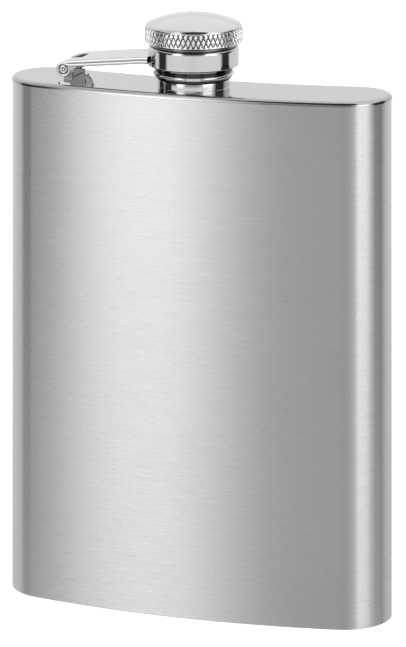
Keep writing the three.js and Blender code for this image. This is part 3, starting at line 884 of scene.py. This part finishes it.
def retaining_ring():
    """Split ring: a lip under the collar, a hollow and a round bead, split in front."""
    inner = RING_GROOVE + FIT
    bead_centre = RING_BEAD_RADIUS - RING_BEAD_ROUND
    bead_start, bead_turn, bead_steps = -75, 130, 12
    profile = [(inner, RING_BOTTOM), (inner + 0.1, RING_BOTTOM)]
    for i in range(bead_steps + 1):
        turn = math.radians(bead_start + bead_turn * i / bead_steps)
        profile.append((
            bead_centre + RING_BEAD_ROUND * math.cos(turn),
            RING_BEAD_HEIGHT + RING_BEAD_ROUND * math.sin(turn),
        ))
    bead_end, cove_low = profile[-1]
    cove_high = RING_TOP - 0.2
    cove_steps = 10
    for i in range(1, cove_steps):
        share = i / cove_steps
        depth = math.sin(math.pi * share)
        edge = bead_end + (RING_LIP_RADIUS - bead_end) * share
        profile.append((
            edge + (RING_COVE_RADIUS - edge) * depth,
            cove_low + (cove_high - cove_low) * share,
        ))
    profile += [(RING_LIP_RADIUS, cove_high), (RING_LIP_RADIUS, RING_TOP), (inner, RING_TOP)]
    half_gap = math.asin(RING_SPLIT / 2 / RING_BEAD_RADIUS)
    start = RING_SPLIT_TURN - math.pi / 2
    steps = 120
    rings = []
    for i in range(steps + 1):
        angle = start + half_gap + (2 * math.pi - 2 * half_gap) * i / steps
        rings.append([
            (r * math.cos(angle), AXIS_Y + r * math.sin(angle), SHOULDER_TOP + h)
            for r, h in profile
        ])
    return loft("snap_ring", rings, RING_STEEL)


def slip_washer():
    """Thin washer between the cover and the collar."""
    corners = [(WASHER_BORE, WASHER_BOTTOM), (WASHER_RADIUS, WASHER_BOTTOM),
               (WASHER_RADIUS, WASHER_TOP), (WASHER_BORE, WASHER_TOP)]
    return turned("washer", rounded(corners, 0.05, 2), CAP_STEEL)


# ---- Collar, arm and hinge ----

COLLAR_RADIUS = (COLLAR_HIGH.x - COLLAR_LOW.x) / 2
COLLAR_BORE = 9.1
COLLAR_SHEET = 0.55
COLLAR_BOTTOM = COLLAR_LOW.z - SHOULDER_TOP
COLLAR_TOP = COLLAR_HIGH.z - SHOULDER_TOP
COLLAR_LIP = 0.7
COLLAR_TOP_ROUND = 0.95
COLLAR_BEVEL_WIDTH = 1.2
COLLAR_BEVEL_HEIGHT = 0.45
ARM_SLOT_GAP = 0.35                # clearance round the arm in the collar's wall
ARM_WIDTH = 12.7
ARM_THICKNESS = 1.6                # two layers of sheet
ARM_RISE = 0.4                     # the strip's top above the rolled knuckle
ARM_COLLAR_TOP = 7.4
ARM_RING_RADIUS = 9.95
KNUCKLE_RADIUS = 1.77
KNUCKLE_BORE = 1.13
NOTCH_REACH = 3.3
LUG_WIDTH = 4.2
LUG_CLEARANCE = 0.25
LUG_RADIUS = 1.55
LUG_LEG_RIGHT = 0.7
LUG_LEG_DROP = 1.35                # from the pin down to where the leg leaves the eye
FOOT_LEFT = BRACKET_LOW.x
FOOT_RIGHT = -28.0
FOOT_STRIP_DEPTH = 1.8
EAR_SHEET = 0.8
EAR_RIGHT = BRACKET_HIGH.x
EAR_HEIGHT = 2.2
EAR_CORNER_RADIUS = 1.6
EAR_NECK_HEIGHT = 1.0
STOP_LEFT = -27.4
STOP_RIGHT = -24.8
STOP_HEIGHT = 3.8
CREASE_HEIGHT = 1.45
FOLD_LOW = 1.75                    # the fold climbs from left to right across the stop
FOLD_HIGH = 3.0
FOLD_INSET = 0.35


def swivel_collar():
    """Sheet ring with turned-in lips, open where the arm enters it."""
    inside = COLLAR_RADIUS - COLLAR_SHEET
    profile = rounded(
        [(COLLAR_BORE, COLLAR_BOTTOM), (COLLAR_RADIUS - COLLAR_BEVEL_WIDTH, COLLAR_BOTTOM),
         (COLLAR_RADIUS, COLLAR_BOTTOM + COLLAR_BEVEL_HEIGHT), (COLLAR_RADIUS, COLLAR_TOP),
         (COLLAR_BORE, COLLAR_TOP),
         (COLLAR_BORE, COLLAR_TOP - COLLAR_LIP), (inside, COLLAR_TOP - COLLAR_LIP),
         (inside, COLLAR_BOTTOM + COLLAR_LIP), (COLLAR_BORE, COLLAR_BOTTOM + COLLAR_LIP)],
        [0.1, 0.2, 0.15, COLLAR_TOP_ROUND, 0.1, 0, 0, 0, 0], 8,
    )
    collar = turned("collar", profile, CAP_STEEL)
    half = ARM_WIDTH / 2 + ARM_SLOT_GAP
    top = SHOULDER_TOP + ARM_COLLAR_TOP
    window = box_tool(
        (-2 * COLLAR_RADIUS, AXIS_Y - half, top - ARM_THICKNESS - ARM_SLOT_GAP),
        (0, AXIS_Y + half, top + ARM_SLOT_GAP),
    )
    return combine(collar, window, "DIFFERENCE")


def arm_path():
    """Centre line of the strip in (x, z), with its thickness at each point."""
    roll_sheet = KNUCKLE_RADIUS - KNUCKLE_BORE
    roll_radius = (KNUCKLE_RADIUS + KNUCKLE_BORE) / 2
    stations = []
    roll_steps = 48
    roll_end, roll_start = math.radians(395), math.radians(96)
    for i in range(roll_steps + 1):
        turn = roll_end + (roll_start - roll_end) * i / roll_steps
        stations.append((
            HINGE_X + roll_radius * math.cos(turn),
            HINGE_Z + roll_radius * math.sin(turn),
            roll_sheet,
        ))
    strip_top = HINGE_Z + KNUCKLE_RADIUS + ARM_RISE
    arm_top = SHOULDER_TOP + ARM_COLLAR_TOP
    start_x = HINGE_X + 1.6
    end_x = -COLLAR_RADIUS - 0.2
    strip_steps = 8
    for i in range(strip_steps + 1):
        share = i / strip_steps
        stations.append((
            start_x + (end_x - start_x) * share,
            strip_top + (arm_top - strip_top) * share - ARM_THICKNESS / 2,
            ARM_THICKNESS,
        ))
    stations.append((-COLLAR_BORE - 0.2, arm_top - ARM_THICKNESS / 2, ARM_THICKNESS))
    return stations


def strip_edge(thickness, corner, seam, steps=4):
    """Edge of a folded strip as (inset, height): two rounded layers that meet in a seam."""
    lower = []
    for k in range(steps + 1):
        turn = math.pi / 2 * k / steps
        lower.append((
            corner * (1 - math.sin(turn)), -thickness / 2 + corner * (1 - math.cos(turn)),
        ))
    for k in range(steps + 1):
        turn = math.pi / 2 * k / steps
        lower.append((seam * (1 - math.cos(turn)), -seam * (1 - math.sin(turn))))
    upper = [(inset, -height) for inset, height in reversed(lower[:-1])]
    return lower + upper


def swing_arm():
    """Sheet rolled round the pin, folded back under itself and ringed round the cap."""
    stations = arm_path()
    rings = []
    for i, (x, z, sheet) in enumerate(stations):
        before = Vector(stations[max(0, i - 1)][:2])
        after = Vector(stations[min(len(stations) - 1, i + 1)][:2])
        along = (after - before).normalized()
        up = Vector((-along.y, along.x))
        corner, seam = (0.28, 0.24) if sheet == ARM_THICKNESS else (0.16, 0.01)
        edge = strip_edge(sheet, corner, seam)
        section = [(ARM_WIDTH / 2 - inset, b) for inset, b in edge]
        section += [(-a, b) for a, b in reversed(section)]
        rings.append([
            (x + up.x * b, AXIS_Y + a, z + up.y * b) for a, b in section
        ])
    arm = loft("cap_arm", rings, HINGE_STEEL, smooth_angle=40)
    ring_profile = [
        (COLLAR_BORE, ARM_COLLAR_TOP - ARM_THICKNESS),
        (ARM_RING_RADIUS, ARM_COLLAR_TOP - ARM_THICKNESS),
        (ARM_RING_RADIUS, ARM_COLLAR_TOP),
        (COLLAR_BORE, ARM_COLLAR_TOP),
    ]
    arm = combine(arm, turned("tool", ring_profile, None, 96), "UNION")
    hole = turned("tool", [(COLLAR_BORE, 4), (COLLAR_BORE, 9)], None, 96, closed=False)
    arm = combine(arm, hole, "DIFFERENCE")
    half_notch = LUG_WIDTH / 2 + LUG_CLEARANCE
    back = KNUCKLE_RADIUS + LUG_CLEARANCE
    notch = box_tool(
        (HINGE_X - back, AXIS_Y - half_notch, HINGE_Z - back),
        (HINGE_X + NOTCH_REACH, AXIS_Y + half_notch, HINGE_Z + 2 * back),
    )
    return combine(arm, notch, "DIFFERENCE")


def rod_rings(profile, steps):
    """Rings about the hinge axis from (radius, y) pairs."""
    rings = []
    for radius, y in profile:
        rings.append([(
            HINGE_X + radius * math.cos(2 * math.pi * i / steps), AXIS_Y + y,
            HINGE_Z + radius * math.sin(2 * math.pi * i / steps),
        ) for i in range(steps)])
    return rings


def hinge_ear():
    """Upright front ear with a stop under the arm, creased and folded in front."""
    floor = SHOULDER_TOP
    outline = rounded(
        [(EAR_LEFT, floor), (EAR_RIGHT, floor), (EAR_RIGHT, floor + EAR_HEIGHT),
         (STOP_RIGHT, floor + EAR_HEIGHT), (STOP_RIGHT, floor + STOP_HEIGHT),
         (STOP_LEFT, floor + STOP_HEIGHT),
         (STOP_LEFT, floor + EAR_NECK_HEIGHT + STOP_LEFT - EAR_LEFT),
         (EAR_LEFT, floor + EAR_NECK_HEIGHT)],
        [0.2, 0.2, EAR_CORNER_RADIUS, 0.15, 0.2, 0.2, 0.15, 0.2], 8,
    )
    front = AXIS_Y - ARM_WIDTH / 2
    ear = across("bracket", outline, EAR_SHEET, BRACKET_STEEL, front + EAR_SHEET / 2)
    crease = groove_tool((CREASE_X, floor), (CREASE_X, floor + CREASE_HEIGHT), front)
    fold_start = (STOP_LEFT, floor + FOLD_LOW)
    fold_end = (STOP_RIGHT - FOLD_INSET, floor + FOLD_HIGH)
    fold = groove_tool(fold_start, fold_end, front)
    return combine(combine(ear, crease, "DIFFERENCE"), fold, "DIFFERENCE")


def groove_tool(start, end, front):
    """V-shaped cutter laid along a line of (x, z) points on the ear's front face."""
    half_width, depth, overshoot = 0.13, 0.2, 0.05
    start, end = Vector(start), Vector(end)
    along = (end - start).normalized()
    side = Vector((-along.y, along.x)) * half_width
    rings = []
    for place in (start, end):
        corners = [(place - side, front - overshoot), (place + side, front - overshoot),
                   (place, front + depth)]
        rings.append([(xz.x, y, xz.y) for xz, y in corners])
    return loft("tool", rings, None)


def lug_outline():
    """Eye round the pin on a leg that stands in the foot, as (x, z) points."""
    foot = SHOULDER_TOP + FOOT_SHEET / 2
    leg_right = HINGE_X + LUG_LEG_RIGHT
    outline = [(HINGE_X - LUG_RADIUS + 0.1, foot), (leg_right, foot),
               (leg_right, HINGE_Z - LUG_LEG_DROP)]
    steps = 40
    first = math.degrees(math.atan2(-LUG_LEG_DROP, LUG_LEG_RIGHT)) + 2
    last = 190
    for i in range(steps + 1):
        turn = math.radians(first + (last - first) * i / steps)
        outline.append((
            HINGE_X + LUG_RADIUS * math.cos(turn), HINGE_Z + LUG_RADIUS * math.sin(turn),
        ))
    return outline


def hinge_bracket():
    """Stamped foot with a rolled lug for the pin and an upright ear."""
    floor = SHOULDER_TOP
    half = ARM_WIDTH / 2
    corner = 0.9
    foot_outline = [
        (FOOT_LEFT, -half), (EAR_RIGHT, -half), (EAR_RIGHT, FOOT_STRIP_DEPTH - half),
        (FOOT_RIGHT, FOOT_STRIP_DEPTH - half), (FOOT_RIGHT, half), (FOOT_LEFT, half),
    ]
    outline = rounded(foot_outline, [corner, 0.3, 0.3, 0.4, 0.6, corner], 6)
    edge = 0.1
    rings = []
    for inset, height in ((0, 0), (0, FOOT_SHEET - edge), (edge * 0.3, FOOT_SHEET - edge * 0.3),
                          (edge, FOOT_SHEET)):
        moved = inset_outline(outline, inset)
        rings.append([(p.x, AXIS_Y + p.y, floor + height) for p in moved])
    bracket = combine(loft("bracket", rings, BRACKET_STEEL), hinge_ear(), "UNION")
    bracket = combine(bracket, across("tool", lug_outline(), LUG_WIDTH, None, AXIS_Y), "UNION")
    bore = loft("tool", rod_rings([(KNUCKLE_BORE, -half), (KNUCKLE_BORE, half)], 64), None)
    return combine(bracket, bore, "DIFFERENCE")


def hinge_pin():
    """Rivet-like pin with a rounded edge and a dimple in each end."""
    radius = (PIN_HIGH.z - PIN_LOW.z) / 2
    half = (PIN_HIGH.y - PIN_LOW.y) / 2
    end = [(0.12, 0.3), (0.34, 0.24), (0.46, 0.1), (0.52, 0.02), (0.6, 0.0), (0.84, 0.0),
           (0.95, 0.05), (1.02, 0.13), (radius, 0.25)]
    profile = [(r, -half + depth) for r, depth in end]
    profile += [(r, half - depth) for r, depth in reversed(end)]
    return loft("pin", rod_rings(profile, 48), HINGE_STEEL, smooth_angle=50)


# ---- Assembly ----

PIECES = [
    (body_sleeve, "body_sleeve", "flask", "brushed_steel_body"),
    (shoulder_plate, "shoulder_plate", "flask", "polished_steel"),
    (base_plate, "base_plate", "flask", "brushed_steel_body"),
    (neck_spout, "neck_spout", "flask", "polished_steel"),
    (hinge_bracket, "hinge_bracket", "flask", "polished_steel"),
    (hinge_pin, "hinge_pin", "flask", "polished_steel"),
    (swing_arm, "swing_arm", "arm", "polished_steel"),
    (swivel_collar, "swivel_collar", "arm", "polished_steel"),
    (cap_head, "cap_head", "cap", "polished_steel"),
    (cap_skirt, "cap_skirt", "cap", "polished_steel"),
    (cap_gasket, "cap_gasket", "cap", "seal_rubber"),
    (retaining_ring, "retaining_ring", "cap", "polished_steel"),
    (slip_washer, "slip_washer", "cap", "polished_steel"),
]

for build, node, body, slot in PIECES:
    piece = build()
    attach(piece, body)
    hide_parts(node)
    weighting = piece.modifiers.new("weighted_normals", "WEIGHTED_NORMAL")
    weighting.keep_sharp = True
    weighting.weight = 100

# ---- Camera ----

CAMERA_TURN = math.radians(18.4)   # to the right of straight ahead
CAMERA_DISTANCE = 941.0            # level distance to the spout axis
CAMERA_HEIGHT = 305.1
CAMERA_SIDE = 2.18                 # sideways, so the flask sits left of centre
CAMERA_DROP = 0.2546               # slope of the line of sight below level
IMAGE_HEIGHT = 647                 # pixels
FOCAL_PIXELS = 4037.0              # focal length for an image of that height


def add_camera():
    """Camera with its film plane upright, as on a view camera.

    The film looks level while the line of sight slopes down, which keeps the
    flask's sides parallel. A sheared frame does this: its axes are the level
    right, the world's up and the sloping line of sight.
    """
    data = bpy.data.cameras.new("camera")
    camera = bpy.data.objects.new("camera", data)
    holder = bpy.data.objects.new("camera_holder", None)
    for thing in (holder, camera):
        bpy.context.scene.collection.objects.link(thing)
    right = Vector((math.cos(CAMERA_TURN), math.sin(CAMERA_TURN), 0))
    ahead = Vector((-math.sin(CAMERA_TURN), math.cos(CAMERA_TURN), 0))
    up = Vector((0, 0, 1))
    back = (up * CAMERA_DROP - ahead).normalized()
    place = Vector((0, AXIS_Y, 0)) - ahead * CAMERA_DISTANCE + right * CAMERA_SIDE
    place.z = CAMERA_HEIGHT
    place *= MM
    camera.parent = holder
    camera.matrix_parent_inverse = Matrix((
        (right.x, up.x, back.x, place.x),
        (right.y, up.y, back.y, place.y),
        (right.z, up.z, back.z, place.z),
        (0, 0, 0, 1),
    ))
    data.sensor_fit = "VERTICAL"
    data.sensor_height = 36.0
    slant = math.sqrt(1 + CAMERA_DROP ** 2)
    data.lens = FOCAL_PIXELS * slant / IMAGE_HEIGHT * data.sensor_height
    data.clip_start = 0.05
    data.clip_end = 20
    bpy.context.scene.camera = camera


# ---- Studio ----

# Brightness against direction, as (degrees from the camera, brightness) with
# negative to the left. LEVEL is what stands round the flask: a grey gap at the
# camera, a soft box on each side of it, black flags beyond them and a white
# background behind. UPPER is the lighter surround over their tops, HORIZON the far
# edge of the table and DEEP the table close by. GAP is the dark opening high over
# the camera, between the lights.
LEVEL = [
    (-180, 1.0), (-132, 1.0), (-108, 0.6), (-98, 0.04), (-58, 0.04), (-54, 1.4), (-47, 2.4),
    (-38, 2.4), (-31, 1.2), (-24, 0.38), (14, 0.38), (27, 0.7), (34, 2.2), (56, 2.2),
    (66, 1.0), (75, 0.04), (106, 0.04), (118, 0.8), (150, 1.0), (180, 1.0),
]
UPPER = [
    (-180, 1.15), (-130, 1.1), (-105, 0.8), (-62, 0.8), (-50, 1.3), (-35, 1.3), (-22, 0.8),
    (14, 0.8), (28, 1.3), (60, 1.3), (80, 1.1), (180, 1.15),
]
HORIZON = [
    (-180, 0.95), (-102, 0.95), (-96, 0.04), (-76, 0.04), (-70, 1.0), (-25, 1.05),
    (0, 0.96), (20, 1.05), (72, 1.0), (79, 0.04), (99, 0.04), (105, 0.95), (180, 0.95),
]
DEEP = [
    (-180, 0.6), (-120, 0.7), (-96, 0.75), (-80, 0.72), (-64, 0.55), (-60, 0.5), (-54, 0.75),
    (-45, 0.85), (-36, 0.85), (-24, 0.5), (5, 0.47), (25, 0.65), (36, 0.85), (56, 0.7),
    (70, 0.5), (80, 0.8), (95, 0.8), (108, 0.5), (122, 0.6), (180, 0.6),
]
GAP_BEARING = math.radians(2)
GAP_ELEVATION = math.radians(49)
GAP_INNER, GAP_OUTER = math.radians(25), math.radians(30)
GAP_BRIGHTNESS = 0.06
RAMP_TOP = 2.2                     # brightness that a ramp's white stands for

# Elevations in degrees between which one belt of the surround turns into the next.
DEEP_TO_HORIZON = (-15.0, -13.0)
HORIZON_TO_LEVEL = (-9.0, -6.0)
LEVEL_TO_UPPER = (20.0, 30.0)


def bearing(nodes, direction):
    """Bearing from the camera, 0 to 1 for -180 to 180 degrees, and elevation in degrees."""
    x, y, z = split_axes(nodes, direction)
    sine, cosine = math.sin(CAMERA_TURN), math.cos(CAMERA_TURN)
    to_camera = nodes.math(
        "ADD", nodes.math("MULTIPLY", x, sine), nodes.math("MULTIPLY", y, -cosine),
    )
    to_right = nodes.math(
        "ADD", nodes.math("MULTIPLY", x, cosine), nodes.math("MULTIPLY", y, sine),
    )
    angle = nodes.math("ARCTAN2", to_right, to_camera)
    share = nodes.math("ADD", nodes.math("MULTIPLY", angle, 1 / (2 * math.pi)), 0.5)
    elevation = nodes.math("ARCSINE", z)
    return share, nodes.math("MULTIPLY", elevation, 180 / math.pi)


def blend_colour(nodes, factor, low, high):
    """Mix of two colours, low at factor 0 and high at 1."""
    node = nodes.add("MixRGB")
    nodes.put(node, Fac=factor, Color1=low, Color2=high)
    return node.outputs["Color"]


def light_studio():
    """Soft surround that only reflections and shading see; the camera sees white."""
    world = bpy.data.worlds.new("studio")
    world.use_nodes = True
    bpy.context.scene.world = world
    nodes = Nodes(world.node_tree)
    direction = nodes.add("TexCoord").outputs["Generated"]
    share, elevation = bearing(nodes, direction)

    def surround(stops):
        """One belt of the surround, as a colour by bearing."""
        scaled = [((degrees + 180) / 360, level / RAMP_TOP) for degrees, level in stops]
        return nodes.ramp(share, scaled)

    everything = surround(DEEP)
    for (low, high), stops in (
        (DEEP_TO_HORIZON, HORIZON), (HORIZON_TO_LEVEL, LEVEL), (LEVEL_TO_UPPER, UPPER),
    ):
        factor = nodes.remap(elevation, low, high, smooth=True)
        everything = blend_colour(nodes, factor, everything, surround(stops))
    toward = CAMERA_TURN + GAP_BEARING
    closeness = nodes.add("VectorMath", operation="DOT_PRODUCT")
    nodes.feed(closeness, 0, direction)
    nodes.feed(closeness, 1, (
        math.cos(GAP_ELEVATION) * math.sin(toward), -math.cos(GAP_ELEVATION) * math.cos(toward),
        math.sin(GAP_ELEVATION),
    ))
    gap = nodes.remap(
        closeness.outputs["Value"], math.cos(GAP_OUTER), math.cos(GAP_INNER), smooth=True,
    )
    gap_grey = GAP_BRIGHTNESS / RAMP_TOP
    everything = blend_colour(nodes, gap, everything, (gap_grey, gap_grey, gap_grey, 1))
    seen = nodes.add("Background")
    nodes.put(seen, Color=(1, 1, 1, 1), Strength=1.0)
    lit = nodes.add("Background")
    nodes.put(lit, Color=everything, Strength=RAMP_TOP)
    pick = nodes.add("MixShader")
    nodes.put(pick, Fac=nodes.add("LightPath").outputs["Is Camera Ray"])
    nodes.feed(pick, 1, lit.outputs[0])
    nodes.feed(pick, 2, seen.outputs[0])
    nodes.put(nodes.add("OutputWorld"), Surface=pick.outputs[0])


def lay_floor():
    """Plain white table; it glows a little, so the flask's shadow stays faint."""
    half = 900
    gap = 0.02
    corners = [(-half, -half, 0), (half, -half, 0), (half, half, 0), (-half, half, 0)]
    material, nodes, shader, coordinates = new_material("table_white")
    mottle = nodes.noise(coordinates, 30.0, 2.0, 0.5)
    nodes.put(
        shader,
        Base_Color=grey_colour(nodes, nodes.remap(mottle, 0.3, 0.7, 0.8, 0.82)),
        Roughness=0.9,
        Emission_Color=(1, 1, 1, 1),
        Emission_Strength=0.75,
    )
    floor = new_piece("floor", corners, [(0, 1, 2, 3)], material)
    floor.location.z = -gap * MM
    floor.visible_glossy = False


add_camera()
light_studio()
lay_floor()

scene = bpy.context.scene
scene.view_settings.view_transform = "Standard"
scene.view_settings.look = "None"
